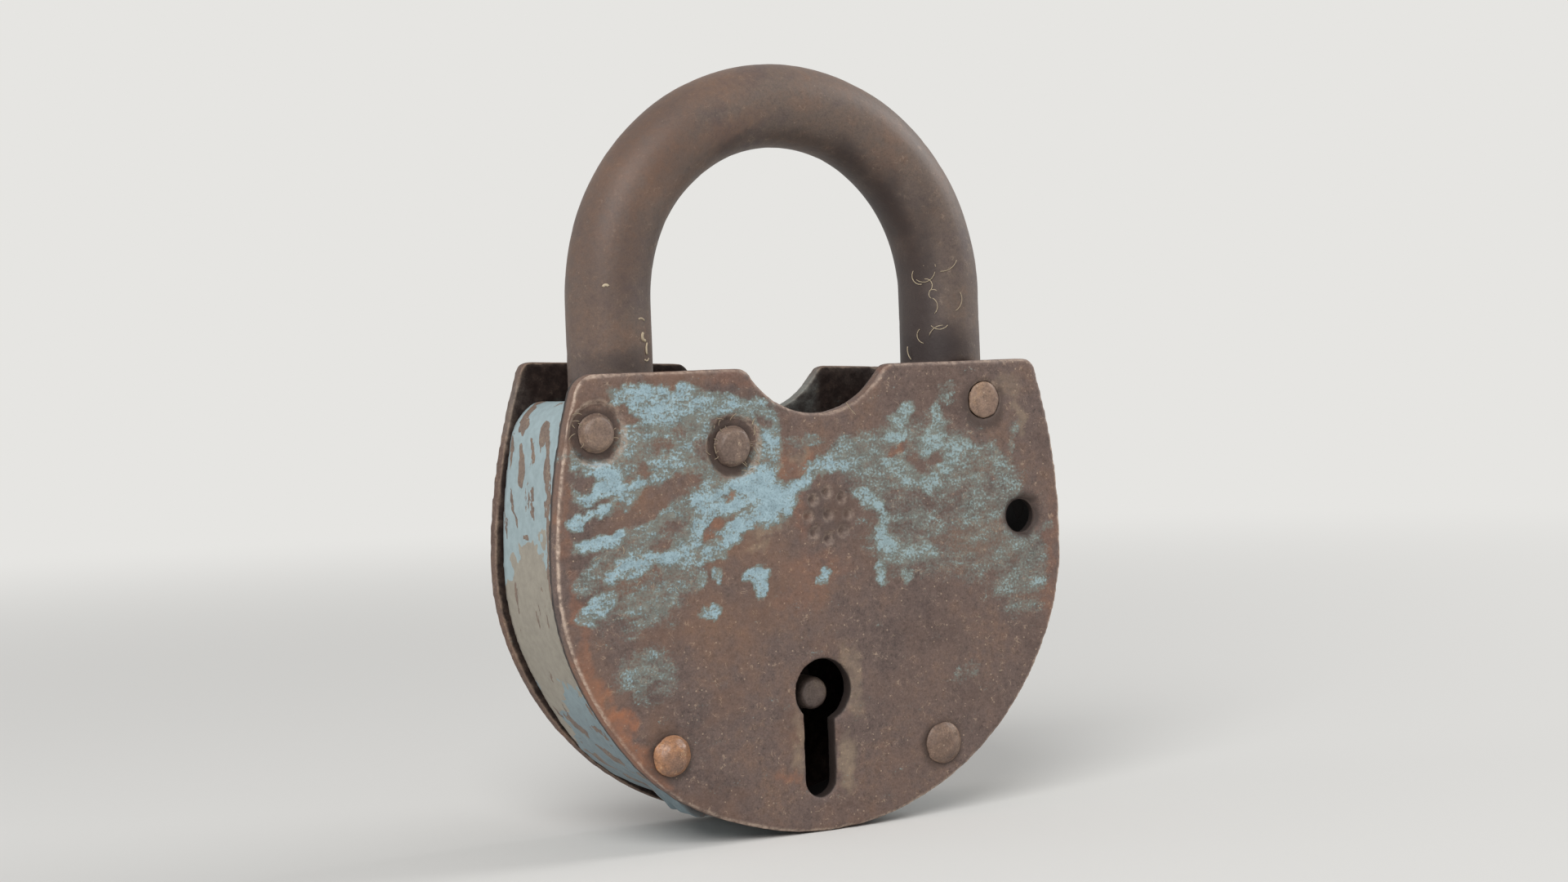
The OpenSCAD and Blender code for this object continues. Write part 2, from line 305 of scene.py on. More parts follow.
def flaked_paint(material, parts, cover, thick, thin, streak):
    """Old brushed paint over rust: it stays where cover beats a streaky, speckled noise.
    Returns the colour and where the paint is."""
    slant = add(
        material, "Mapping",
        {"Vector": parts["place"], "Rotation": (0.0, radians(streak), 0.0), "Scale": (0.45, 1.0, 1.0)}
    ).outputs["Vector"]
    streaks = add(
        material, "TexNoise", {"Vector": slant, "Scale": 1 / (1.7 * MM), "Detail": 5.0, "Roughness": 0.7}
    ).outputs["Fac"]
    specks = add(
        material, "TexNoise", {"Vector": parts["place"], "Scale": 1 / (0.36 * MM), "Detail": 2.0}
    ).outputs["Fac"]
    need = add(material, "Math", {0: streaks, 1: 2.3, 2: -1.38}, operation="MULTIPLY_ADD").outputs[0]
    need = add(material, "Math", {0: specks, 1: 1.6, 2: need}, operation="MULTIPLY_ADD").outputs[0]
    left = add(material, "Math", {0: cover, 1: need}, operation="SUBTRACT").outputs[0]
    painted = add(
        material, "ValToRGB", {"Fac": left}, stops=[(0.0, 0.0), (0.12, 0.55), (0.36, 1.0)]
    ).outputs["Color"]
    body = add(material, "MapRange", {"Value": left, "From Min": 0.05, "From Max": 0.45}).outputs["Result"]
    paint = add(
        material, "MixRGB", {"Fac": body, "Color1": linear(thin), "Color2": linear(thick)}
    ).outputs["Color"]
    grime_and_shade = add(
        material, "ValToRGB", {"Fac": parts["mottle"]}, stops=[(0.34, 0.74), (0.6, 1.04)]
    ).outputs["Color"]
    paint = add(
        material, "MixRGB", {"Fac": 0.9, "Color1": paint, "Color2": grime_and_shade}, blend_type="MULTIPLY"
    ).outputs["Color"]
    flecks = add(
        material, "TexNoise",
        {"Vector": parts["place"], "Scale": 1 / (0.27 * MM), "Detail": 2.0, "Roughness": 0.7}
    ).outputs["Fac"]
    flecks = add(
        material, "ValToRGB", {"Fac": flecks}, stops=[(0.3, 0.6), (0.46, 1.0), (0.66, 1.12)]
    ).outputs["Color"]
    paint = add(
        material, "MixRGB", {"Fac": 0.85, "Color1": paint, "Color2": flecks}, blend_type="MULTIPLY"
    ).outputs["Color"]
    wash = add(material, "Math", {0: streaks, 1: 1.3, 2: -1.05}, operation="MULTIPLY_ADD").outputs[0]
    wash = add(material, "Math", {0: specks, 1: 0.8, 2: wash}, operation="MULTIPLY_ADD").outputs[0]
    wash = add(material, "Math", {0: cover, 1: wash}, operation="SUBTRACT").outputs[0]
    wash = add(
        material, "MapRange", {"Value": wash, "From Min": 0.15, "From Max": 0.62, "To Max": 0.66},
        interpolation_type="SMOOTHSTEP",
    ).outputs["Result"]
    dulled = add(
        material, "MixRGB", {"Fac": 1.0, "Color1": linear("#848e86"), "Color2": grime_and_shade},
        blend_type="MULTIPLY"
    ).outputs["Color"]
    colour = add(
        material, "MixRGB", {"Fac": wash, "Color1": parts["colour"], "Color2": dulled}
    ).outputs["Color"]
    colour = add(
        material, "MixRGB", {"Fac": painted, "Color1": colour, "Color2": paint}
    ).outputs["Color"]
    return colour, painted


def edge_wear_and_highlight(material, parts, colour, amount, tint):
    """Lays paler metal in patches along a plate's rounded edges: rubbed wear, and a painted highlight where
    the rims catch the light.
    """
    facing = add(
        material, "SeparateXYZ", {"Vector": add(material, "TexCoord").outputs["Normal"]}
    ).outputs["Y"]
    facing = add(material, "Math", {0: facing}, operation="ABSOLUTE").outputs[0]
    edge = add(
        material, "ValToRGB", {"Fac": facing}, stops=[(0.2, 0.0), (0.5, 1.0), (0.86, 1.0), (0.985, 0.0)]
    ).outputs["Color"]
    patches = add(
        material, "ValToRGB", {"Fac": parts["mottle"]}, stops=[(0.36, 0.25), (0.56, 1.0)]
    ).outputs["Color"]
    bare = add(
        material, "ValToRGB", {"Fac": parts["pits"]}, stops=[(0.36, 0.4), (0.56, 1.0)]
    ).outputs["Color"]
    edge = add(material, "Math", {0: edge, 1: patches}, operation="MULTIPLY").outputs[0]
    edge = add(material, "Math", {0: edge, 1: bare}, operation="MULTIPLY").outputs[0]
    edge = add(material, "Math", {0: edge, 1: amount}, operation="MULTIPLY").outputs[0]
    return add(
        material, "MixRGB", {"Fac": edge, "Color1": colour, "Color2": linear(tint)}
    ).outputs["Color"]


rear = skin_of("rear_plate", 0.42 * MM, 3)
weather(rear, (11 * MM, 0.06 * MM), (1.6 * MM, 0.09 * MM), 3, 0.22 * MM)
REAR_RISE = 0.4 * MM  # how far wear has left the rear plate's top standing above the front one's
for v in rear.verts:
    v.co.z += REAR_RISE * min(1, max(0, (v.co.z / MM + 36) / 4))
rear.normal_update()
rear = piece("rear_plate_worn", rear, "case", "rear_plate_steel", "rear_plate")
brush(
    rear,
    "dust",
    [
        (7.5, -35.5, 5, 4, 50, 1.0), (-8, -35, 4, 3, -50, 0.8), (-38, -36, 3, 5, 0, 0.3),
        (24, -33, 12, 2, 0, 0.2)
    ],
    wander=1.2,
)
dice = random.Random(23)
strokes = [
    (-14, -43, 15, 6, 12, 0.42), (15, -45, 14, 7, 18, 0.45), (-4, -57, 18, 5, 22, 0.34),
    (24, -62, 8, 6, 30, 0.36),
    (-27, -61, 7, 5, 15, 0.36), (2, -74, 12, 4, 20, 0.28), (26, -36, 7, 3, 0, 0.5),
    (-29, -38, 6, 3, 5, 0.5),
]
for _ in range(46):
    height = dice.uniform(0, 1) ** 1.4
    strokes.append((
        dice.uniform(-34, 34), -36 - 42 * height, dice.uniform(1, 5.5), dice.uniform(0.7, 2.2),
        dice.uniform(5, 45), dice.uniform(0.6, 1.15) * (1 - 0.45 * height),
    ))
strokes.append((-0.8, -78, 4, 4, 0, -0.8))
brush(rear, "paint", strokes, wander=1.5)

rear_rust, parts = rusted_steel("rear_plate_rusted_steel", "#604d45", "#715e55", "#7f6454", "#ab9784", 5)
cover = add(rear_rust, "Attribute", attribute_name="paint").outputs["Fac"]
colour, painted = flaked_paint(rear_rust, parts, cover, "#9cb5be", "#858f89", 20)
# Painted shade: the rear plate's inner face, seen through the notch, is darkened almost to black in mottled
# patches, less where dust lies.
depth = add(rear_rust, "SeparateXYZ", {"Vector": add(rear_rust, "TexCoord").outputs["Object"]}).outputs["Y"]
inside = add(
    rear_rust, "MapRange", {"Value": depth, "From Min": 9.7 * MM, "From Max": 9.1 * MM, "To Max": 0.97}
).outputs["Result"]
facing = add(
    rear_rust, "SeparateXYZ", {"Vector": add(rear_rust, "TexCoord").outputs["Normal"]}
).outputs["Y"]
facing = add(
    rear_rust, "MapRange", {"Value": facing, "From Min": -0.35, "From Max": -0.8}
).outputs["Result"]
inside = add(rear_rust, "Math", {0: inside, 1: facing}, operation="MULTIPLY").outputs[0]
painted_shade = add(
    rear_rust, "ValToRGB", {"Fac": parts["mottle"]}, stops=[(0.4, 1.0), (0.64, 0.87)]
).outputs["Color"]
inside = add(rear_rust, "Math", {0: inside, 1: painted_shade}, operation="MULTIPLY").outputs[0]
dust = add(rear_rust, "Attribute", attribute_name="dust").outputs["Fac"]
dust = add(rear_rust, "Math", {0: dust, 1: parts["mottle"]}, operation="MULTIPLY").outputs[0]
inside = add(
    rear_rust, "Math", {0: dust, 1: -0.35, 2: inside}, operation="MULTIPLY_ADD", use_clamp=True
).outputs[0]
# Pale rubbed metal with a painted highlight along the rear plate's rim.
colour = edge_wear_and_highlight(rear_rust, parts, colour, 0.6, "#a8927f")
colour = add(
    rear_rust, "MixRGB", {"Fac": dust, "Color1": colour, "Color2": linear("#8c9794")}
).outputs["Color"]
colour = blacken(rear_rust, colour, inside, "#160b08")
dress(rear_rust, colour, 0.72, parts["height"], 0.12 * MM)
rear_rust.node_tree.nodes["Principled BSDF"].inputs["Specular IOR Level"].default_value = 0.2
rear.data.materials.append(rear_rust)

# ---------------------------------------------------------------- side band
# A 1.1 mm steel strip bent round between the plates, which closes the case's
# sides and bottom. Brushed light-blue paint, chipped in long flakes, with a bare
# beige stretch half way down where hands have worn the paint thin.

band = skin_of("side_band", 0.36 * MM, 2)
weather(band, (9 * MM, 0.1 * MM), (1.4 * MM, 0.05 * MM), 8)
swell(band, -28, -86, 15, 0.75)
swell(band, -20.8, -92.6, 5.6, 2.1, front_only=True)
BAND_LIFT = 1.1 * MM  # the band's turned-in left end stands up by this much
for v in band.verts:
    if v.co.z > -43 * MM and v.co.x < -30 * MM:
        rise = min(1, max(0, (v.co.x / MM + 40.5) / 5))
        v.co.z += BAND_LIFT * rise * min(1, max(0, (v.co.z / MM + 43) / 4))
band.normal_update()
band = piece("side_band_worn", band, "case", "band_steel", "side_band")
brush(
    band,
    "chips",
    [
        (6.3, -37.2, 3.0, 1.0, 60, 1.0), (4.6, -38.6, 1.2, 0.8, 0, 0.8), (-2.0, -39.2, 1.8, 1.2, 60, 1.0),
        (-4.3, -42.5, 3.2, 0.8, 80, 0.9), (4.3, -42.3, 2.0, 0.7, 60, 0.9), (3.6, -44.8, 1.9, 1.1, 80, 1.1),
        (-5.4, -46.5, 4.0, 0.5, 88, 0.8), (6.0, -49, 2.6, 0.28, 62, 0.9), (4.4, -51.2, 1.8, 0.28, 50, 0.9),
        (0.9, -53.3, 0.9, 0.5, 20, 0.9), (-1.1, -47.6, 1.0, 0.35, 80, 0.8), (-1.0, -50, 1.1, 0.4, 70, 0.8),
        (0.8, -41.3, 2.0, 0.25, 50, 0.8), (7.6, -42, 3, 0.4, 88, 0.7), (-6.6, -60, 14, 0.5, 88, 0.7),
        (3, -80.5, 2.2, 0.8, 30, 0.8), (-1, -84.5, 2.6, 0.8, 25, 0.9), (5.5, -86, 2.4, 0.7, 35, 0.8),
        (1.5, -89.5, 2.2, 0.7, 30, 0.8), (-4.5, -80.8, 1.6, 0.6, 30, 0.7), (6.5, -79, 1.5, 0.6, 40, 0.7),
    ],
    wander=0.7,
    soft=0.7,
    sideways=True,
)
brush(
    band,
    "bare",
    [
        (-1.5, -64, 4.5, 9.5, 0, 1.0), (3.2, -65.5, 4, 9.5, 0, 1.0), (7.5, -69, 3, 8.5, 0, 1.0),
        (-6, -66, 3, 8.5, 0, 1.0), (8, -78, 1.6, 6, 0, 1.0), (4, -75.5, 4, 2.5, -20, 1.0),
        (0.5, -56, 3.5, 1.4, -8, 1.0), (-4.6, -53, 1, 2, 0, 0.7),
    ],
    wander=2.2,
    soft=0.5,
    sideways=True,
)

band_paint, parts = rusted_steel("painted_band_steel", "#6b5b52", "#7e6c60", "#8a7666", "#a89a86", 9)
across = add(band_paint, "SeparateXYZ", {"Vector": add(band_paint, "TexCoord").outputs["Object"]})
lengthways = add(
    band_paint, "Mapping", {"Vector": parts["place"], "Scale": (1.0, 1.0, 0.28)}
).outputs["Vector"]
flakes = add(
    band_paint, "TexNoise", {"Vector": lengthways, "Scale": 1 / (2.6 * MM), "Detail": 4.0, "Roughness": 0.6}
).outputs["Fac"]
worn = add(band_paint, "Attribute", attribute_name="bare").outputs["Fac"]
worn = add(band_paint, "Math", {0: flakes, 1: 1.6, 2: worn}, operation="MULTIPLY_ADD").outputs[0]
worn = add(band_paint, "MapRange", {"Value": worn, "From Min": 1.27, "From Max": 1.33}).outputs["Result"]
# The blue darkens towards the bottom: painted shade on the band's underside.
blue = add(
    band_paint, "ValToRGB",
    {
        "Fac": add(
            band_paint, "MapRange",
            {"Value": across.outputs["Z"], "From Min": -97 * MM, "From Max": -36 * MM}
        ).outputs["Result"]
    },
    stops=[
        (0.0, linear("#6c7b82")), (0.28, linear("#83949a")), (0.5, linear("#9dafb3")),
        (1.0, linear("#a1b3b7"))
    ],
).outputs["Color"]
coat = add(
    band_paint, "MixRGB", {"Fac": worn, "Color1": blue, "Color2": linear("#9f988b")}
).outputs["Color"]
grime_and_shade = add(
    band_paint, "ValToRGB", {"Fac": parts["mottle"]}, stops=[(0.3, 0.78), (0.62, 1.0)]
).outputs["Color"]
coat = add(
    band_paint, "MixRGB", {"Fac": 0.85, "Color1": coat, "Color2": grime_and_shade}, blend_type="MULTIPLY"
).outputs["Color"]
chips = add(band_paint, "Attribute", attribute_name="chips").outputs["Fac"]
chipped = add(band_paint, "Math", {0: chips, 1: 0.32, 2: flakes}, operation="MULTIPLY_ADD").outputs[0]
crumbs = add(band_paint, "Math", {0: parts["pits"], 1: 0.16, 2: -0.08}, operation="MULTIPLY_ADD").outputs[0]
chipped = add(band_paint, "Math", {0: chipped, 1: crumbs}, operation="ADD").outputs[0]
chipped = add(band_paint, "ValToRGB", {"Fac": chipped}, stops=[(0.635, 0.0), (0.65, 1.0)]).outputs["Color"]
colour = add(
    band_paint, "MixRGB", {"Fac": chipped, "Color1": coat, "Color2": parts["colour"]}
).outputs["Color"]
# Painted shade: the band's inner faces, inside the case, are darkened almost to black.
spot = add(band_paint, "TexCoord")
outward = add(
    band_paint, "VectorMath", {0: spot.outputs["Object"], 1: (0.0, 0.0, -0.055)}, operation="SUBTRACT"
).outputs["Vector"]
outward = add(
    band_paint, "VectorMath", {0: outward, 1: spot.outputs["Normal"]}, operation="DOT_PRODUCT"
).outputs["Value"]
inside = add(
    band_paint, "MapRange", {"Value": outward, "From Min": 0.004, "From Max": -0.004, "To Max": 0.97}
).outputs["Result"]
colour = blacken(band_paint, colour, inside)
seam = add(band_paint, "Math", {0: across.outputs["Y"]}, operation="ABSOLUTE").outputs[0]
seam = add(
    band_paint, "MapRange", {"Value": seam, "From Min": 7.9 * MM, "From Max": 8.8 * MM, "To Max": 0.75}
).outputs["Result"]
colour = blacken(band_paint, colour, seam, "#3d322d")
height = add(
    band_paint, "Math", {0: chipped, 1: -0.8, 2: parts["height"]}, operation="MULTIPLY_ADD"
).outputs[0]
dress(band_paint, colour, 0.6, height, 0.05 * MM)
band.data.materials.append(band_paint)

# ---------------------------------------------------------------- inner works
# Wards, studs, washers, spring, key post and bolt: plain steel, greased once and
# now black with old grease and dust. Only the post's end and the bolt's top
# show, through the keyhole and the notch.

dark_works, parts = rusted_steel("greasy_black_steel", "#3f3531", "#514540", "#61534c", "#7b6d60", 14)
dress(dark_works, parts["colour"], 0.62, parts["height"], 0.06 * MM)
for node in (
    "front_ward", "rear_ward", "bolt_stud_left", "bolt_stud_right", "stud_washer_left",
    "stud_washer_right", "bolt_spring", "pivot_washer_front", "pivot_washer_rear",
):
    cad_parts[node].data.materials.clear()
    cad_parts[node].data.materials.append(dark_works)

bolt_steel, parts = rusted_steel("worn_bolt_steel", "#3a2f2b", "#4b3f3a", "#5a4a42", "#7d6d5f", 17)
dress(bolt_steel, parts["colour"], 0.5, parts["height"], 0.05 * MM)
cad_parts["bolt"].data.materials.clear()
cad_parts["bolt"].data.materials.append(bolt_steel)


def turned(profile, node, steps):
    """A closed round piece about a CAD node's own axis, which runs front to back.
    The profile is (radius, y) pairs in millimetres from the front pole to the rear one."""
    low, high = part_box(node)
    axis = (low + high) / 2
    bm = bmesh.new()
    verts = [bm.verts.new((axis.x + r * MM, y * MM, axis.z)) for r, y in profile]
    edges = [bm.edges.new(pair) for pair in zip(verts, verts[1:])]
    bmesh.ops.subdivide_edges(bm, edges=edges, cuts=2)
    bmesh.ops.spin(
        bm, geom=bm.verts[:] + bm.edges[:], cent=(axis.x, 0, axis.z), axis=(0, 1, 0),
        angle=2 * pi, steps=steps, use_merge=True,
    )
    bmesh.ops.remove_doubles(bm, verts=bm.verts, dist=0.002 * MM)
    bmesh.ops.recalc_face_normals(bm, faces=bm.faces)
    bm.normal_update()
    return bm


post = turned(
    [
        (0, -7.9), (1.2, -7.95), (1.9, -7.85), (2.2, -7.5), (2.38, -6.9), (2.4, -5), (2.4, 8.8),
        (1.7, 8.9), (1.7, 11.3), (0, 11.35)
    ],
    "key_post", 40,
)
weather(post, (2 * MM, 0.05 * MM), (0.7 * MM, 0.05 * MM), 4)
post = piece("key_post_worn", post, "case", "post_steel", "key_post")
post_steel, parts = rusted_steel("dull_post_steel", "#564a45", "#6a5b54", "#78685c", "#94867a", 21)
dress(post_steel, parts["colour"], 0.5, parts["height"], 0.04 * MM)
post.data.materials.append(post_steel)

# ---------------------------------------------------------------- shackle
# A 12 mm round bar, forged to a bow, flattened at the pivot and notched at the
# free end for the bolt. Even grey-brown rust, smooth from handling, with small
# forging pits and a warmer brown on the shoulder of the bow.

shackle = skin_of("shackle", 0.45 * MM, 2)
weather(shackle, (8 * MM, 0.16 * MM), (1.5 * MM, 0.07 * MM), 12)
shackle = piece("shackle_worn", shackle, "shackle", "shackle_steel", "shackle")

# Painted shade on the shackle: the inside of the bow, the right leg's inner side and the feet of both legs
# are darkened, and the upper left shoulder, which faces the key light, a little.
brush(
    shackle,
    "grime_and_shade",
    [
        (21.6, -22, 12, 2.3, 90, 0.85), (23.5, -29.5, 5, 3.0, 0, 1.0), (18, -9.5, 7, 2.4, -58, 0.85),
        (11.5, -2.6, 5, 1.8, -38, 0.7), (3, 0.8, 6, 1.2, -8, 0.35), (-28.5, -30.2, 4, 1.6, 0, 0.5),
        (-9.5, 0.4, 3, 0.9, 25, 0.4), (-29, -13, 9, 6, 82, 0.34), (-21, 1, 8, 6, 50, 0.32),
    ],
    wander=0.8,
    soft=1.4,
)
brush(
    shackle,
    "warm",
    [
        (-23, 0, 9, 4.5, 55, 0.75), (-13, 8.5, 8, 3, 22, 0.65), (-29, -13, 7, 4.5, 85, 0.55),
        (5, 11.5, 9, 3, -8, 0.35),
        (-11, 1.5, 6, 1.6, 25, 0.6), (-31, -24, 6, 3, 90, 0.35),
    ],
    wander=1.2,
    soft=1.3,
)
bar_rust, parts = rusted_steel("forged_bar_rust", "#5a4c48", "#67584f", "#715b4e", "#a08d7c", 27, 0.6)
warm = add(bar_rust, "Attribute", attribute_name="warm").outputs["Fac"]
warm = add(bar_rust, "Math", {0: warm, 1: parts["mottle"]}, operation="MULTIPLY").outputs[0]
parts["colour"] = add(
    bar_rust, "MixRGB", {"Fac": warm, "Color1": parts["colour"], "Color2": linear("#7a563f")}
).outputs["Color"]
# The shackle's painted shade, laid over the rust.
painted_shade = add(bar_rust, "Attribute", attribute_name="grime_and_shade").outputs["Fac"]
parts["colour"] = blacken(bar_rust, parts["colour"], painted_shade, "#362b29")
dress(bar_rust, parts["colour"], 0.55, parts["height"], 0.05 * MM)
shackle.data.materials.append(bar_rust)

# ---------------------------------------------------------------- front plate
# The keyhole side of the case, made as the rear plate is. The two guide rivets
# sit in round sinkings, and the smith's mark is a plain ring of punch dots.
# Light-blue paint is left in slanting streaks above the keyhole.

front = skin_of("front_plate", 0.36 * MM, 4)
OUTER = -11.4 * MM
dishes = [  # x, z, radius it starts from, radius it ends at, depth, in millimetres
    (-35.3, -39.45, 3.4, 4.8, 0.22),
    (-14.5, -42.15, 3.4, 4.7, 0.2),
    (-25.8, -83.95, 3.0, 4.4, 0.22),
    (18.6, -86.75, 3.1, 4.3, 0.2),
    (33.7, -54.65, 2.3, 3.9, 0.4),
]
MARK_X, MARK_Z = 0.3, -52.6  # the middle of the ring of punch dots, in millimetres
MARK_RING, MARK_DOTS, DOT_RADIUS, DOT_DEPTH = 3.3, 8, 1.0, 0.55
for v in front.verts:
    if v.co.y < OUTER + 0.6 * MM:
        for x, z, inner, outer, depth in dishes:
            reach = (Vector((v.co.x, v.co.z)) - Vector((x, z)) * MM).length / MM
            reach += 0.5 * noise.noise(v.co / (1.6 * MM))
            if reach < outer:
                slope = min(1.0, (outer - reach) / (outer - inner))
                v.co.y += depth * slope * slope * (3 - 2 * slope) * MM
        for dot in range(MARK_DOTS + 1):
            turn = dot * pi / 4
            ring = 0 if dot == MARK_DOTS else MARK_RING
            x, z = MARK_X + ring * cos(turn), MARK_Z + ring * sin(turn)
            reach = (Vector((v.co.x, v.co.z)) - Vector((x, z)) * MM).length / MM
            if reach < DOT_RADIUS:
                v.co.y += DOT_DEPTH * (1 - (reach / DOT_RADIUS) ** 2) * MM
rim = bmesh.new()
rim.from_mesh(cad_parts["side_band"].data)
band_shape = BVHTree.FromBMesh(rim)
rim.free()
LIP = 0.55 * MM  # how far the front plate's left edge is hammered back over the band
for v in front.verts:
    if v.co.x < 0 and v.co.y > -9.8 * MM:
        spot = band_shape.find_nearest(v.co)[0]
        past = Vector((v.co.x, v.co.z - CASE_MIDDLE)).length - Vector((spot.x, spot.z - CASE_MIDDLE)).length
        v.co.y += LIP * min(1, max(0, past / MM - 0.15) * 4)
front.normal_update()
swell(front, -25, -89, 15, 0.5)
weather(front, (10 * MM, 0.1 * MM), (1.5 * MM, 0.08 * MM), 1, 0.22 * MM)
front = piece("front_plate_worn", front, "case", "front_plate_steel", "front_plate")
brush(
    front,
    "paint",
    [
        (-27, -35, 8.5, 1.7, -2, 0.95), (-27, -37.5, 5.5, 2, 0, 0.85), (-18, -36.7, 5.5, 1.9, -4, 0.85),
        (-11, -38, 4, 1.8, -25, 0.7), (-8.6, -41.3, 1.8, 3.6, 0, 0.75), (-20.5, -38.8, 3, 2.6, 0, 0.62),
        (-28, -41, 7, 2.6, 8, 0.5), (-36.5, -43.2, 3.2, 1.8, -15, 0.85), (-35, -46.3, 4.2, 2.3, 10, 1.1),
        (-31, -47.5, 3.2, 1.6, 5, 1.0), (-35.6, -50, 3.2, 1, 10, 0.95), (-39, -51.6, 1.6, 1.2, 0, 0.95),
        (-35.4, -54.2, 3.9, 1.4, 12, 1.1), (-31, -57.7, 4.5, 1.2, 14, 1.0), (-26.4, -57, 4.6, 1.3, 6, 0.9),
        (-22.5, -55, 4, 2.2, 38, 0.85), (-19.6, -50.5, 2.6, 4, 0, 0.9), (-12.5, -48.3, 6, 2.6, 18, 1.1),
        (-14, -53.4, 4.8, 1.5, 32, 1.1), (-8.3, -50.7, 4.2, 2.3, 25, 1.1), (-4, -47.6, 3.2, 1.5, 40, 1.1),
        (-0.6, -45.7, 3, 1.3, 30, 0.85), (2.6, -44.8, 3, 1.5, 0, 0.6), (-24, -43.6, 5.5, 2.4, 10, 0.6),
        (-26.2, -51.6, 3.2, 1.9, 15, 0.68), (-17, -45.3, 5, 1.6, 5, 0.6), (-18.6, -57, 3.2, 1.1, 20, 0.75),
        (-36, -62.4, 3, 1.5, 35, 0.95), (-38, -64.6, 1.6, 1.2, 30, 0.75), (-29.3, -61.8, 3.2, 2, 45, 0.58),
        (-26.6, -63.6, 2.4, 1.8, 30, 0.58), (-31.5, -66, 5, 1.4, 8, 0.5),
        (-19.2, -64.6, 1.7, 0.9, 10, 0.95),
        (-11.6, -60.3, 1.9, 1.2, 5, 1.1), (-11.2, -62, 0.8, 1.5, 0, 1.0), (-17.6, -60, 0.5, 1.1, 10, 0.85),
        (-20.2, -60.3, 0.9, 0.8, 0, 0.7), (-1, -61.5, 1.3, 0.7, 25, 0.85), (-29.5, -72, 4.8, 2.8, 20, 0.5),
        (-37.5, -59, 3, 1.6, 20, 0.42), (-23, -60.5, 4, 1.5, 10, 0.42),
        (13.2, -39, 2.9, 1.8, 60, 0.85), (12, -42, 2.1, 1.2, 0, 0.75), (18, -42.7, 3.3, 2, 35, 0.78),
        (19.3, -39.8, 0.9, 2.6, 0, 0.62), (22.4, -43.6, 3, 1.8, 10, 0.65),
        (20.7, -46.2, 2.3, 1.5, 50, 0.88),
        (17.6, -48.9, 2.7, 1.1, -20, 0.92), (11.4, -46.6, 1.8, 2, 0, 0.68),
        (14.2, -47.6, 2.6, 1.3, -30, 0.7),
        (5.4, -44, 3.6, 2.4, 0, 0.56), (9, -44.6, 3, 1.9, 0, 0.52), (7, -50.6, 3, 1.3, -20, 0.8),
        (8.8, -54.2, 1.1, 4.2, 0, 0.95), (10.6, -58, 1.5, 2, 0, 0.75), (9, -61, 0.9, 1.9, 0, 0.8),
        (13.2, -58.6, 3, 1.8, 0, 0.56), (16.4, -58.6, 2.4, 1.6, -50, 0.6), (13, -62, 1.3, 1.2, 0, 0.62),
        (16, -53.6, 2.6, 1.1, -5, 0.58), (26, -48.2, 2, 2.4, 0, 0.52), (27.6, -45, 3.2, 0.9, 0, 0.5),
        (25.4, -51.2, 2.2, 1.4, 0, 0.46), (32.5, -43.2, 0.9, 2.6, 0, 0.46), (21, -35.6, 2.2, 1.6, 20, 0.4),
        (38, -56, 1, 1, 0, 0.5), (34.6, -63.6, 2.4, 2.8, 0, 0.4), (36.6, -60, 1.6, 1.4, 0, 0.42),
        (-3, -41.8, 2.8, 0.9, 0, 0.45), (20, -58, 7, 5, 0, 0.34), (23, -77, 2.4, 1.2, 10, 0.36),
        (27, -60, 6, 5, 0, 0.32), (-26, -40, 11, 5.5, 0, 0.52), (-21, -47, 14, 6.5, 14, 0.46),
        (-27, -56, 10, 4.5, 18, 0.5), (-30, -64, 7, 4, 15, 0.4), (14, -45, 12, 5.5, 3, 0.46),
        (12, -55, 6, 7, 0, 0.4), (26, -50, 8, 7, 0, 0.42), (33, -62, 5, 8, 0, 0.44),
        (-29, -73, 4, 3.5, 0, 0.36),
        (-24.5, -47.6, 4.6, 1.5, 22, -0.85), (-19.4, -42.6, 1.6, 1.3, 0, -0.55),
        (-29.5, -50.6, 3, 1.2, 20, -0.6),
        (-28.4, -44.4, 1.4, 0.8, -30, -0.6), (-37.2, -46.5, 1.2, 0.9, 0, -0.9),
        (-25, -54, 3, 1.2, 30, -0.45),
        (-30, -59.8, 4, 1.0, 10, -0.5), (-33.5, -66.5, 3, 1.3, 10, -0.6), (-25, -68, 5, 3, 0, -0.5),
        (-26, -41.6, 1.7, 1.1, 0, -0.5), (-23, -40, 1.3, 0.9, 0, -0.4),
        (-18, -53.5, 2, 0.9, 48, -0.85), (-6, -45.7, 1.9, 1.5, 20, -0.85), (-15.7, -49, 1.2, 0.7, 10, -0.7),
        (-38.2, -46, 1.1, 0.8, 0, -0.8), (-33.5, -51.9, 8, 0.85, 17, -0.95),
        (-35, -48.9, 3.4, 0.35, 14, -0.7),
        (-35.3, -39.45, 3.5, 3.5, 0, -1.0), (-14.5, -42.15, 3.4, 3.4, 0, -1.0),
        (-30.8, -37.3, 2.2, 0.8, -20, -0.9),
        (-38.5, -37.5, 2.2, 2.4, 0, -1.0), (-9.6, -39, 1.4, 0.6, -20, -0.7),
        (15.4, -46, 1.5, 0.9, -25, -0.75), (18.7, -45.4, 1.1, 0.7, 0, -0.75),
        (12.6, -43.8, 1.7, 0.6, 10, -0.75),
        (0.3, -52.8, 5.2, 4.6, 0, -1.0), (27.5, -37.35, 3.2, 3.2, 0, -1.0), (-37, -36, 3.5, 2.5, 45, -1.0),
    ],
    wander=1.1,
)
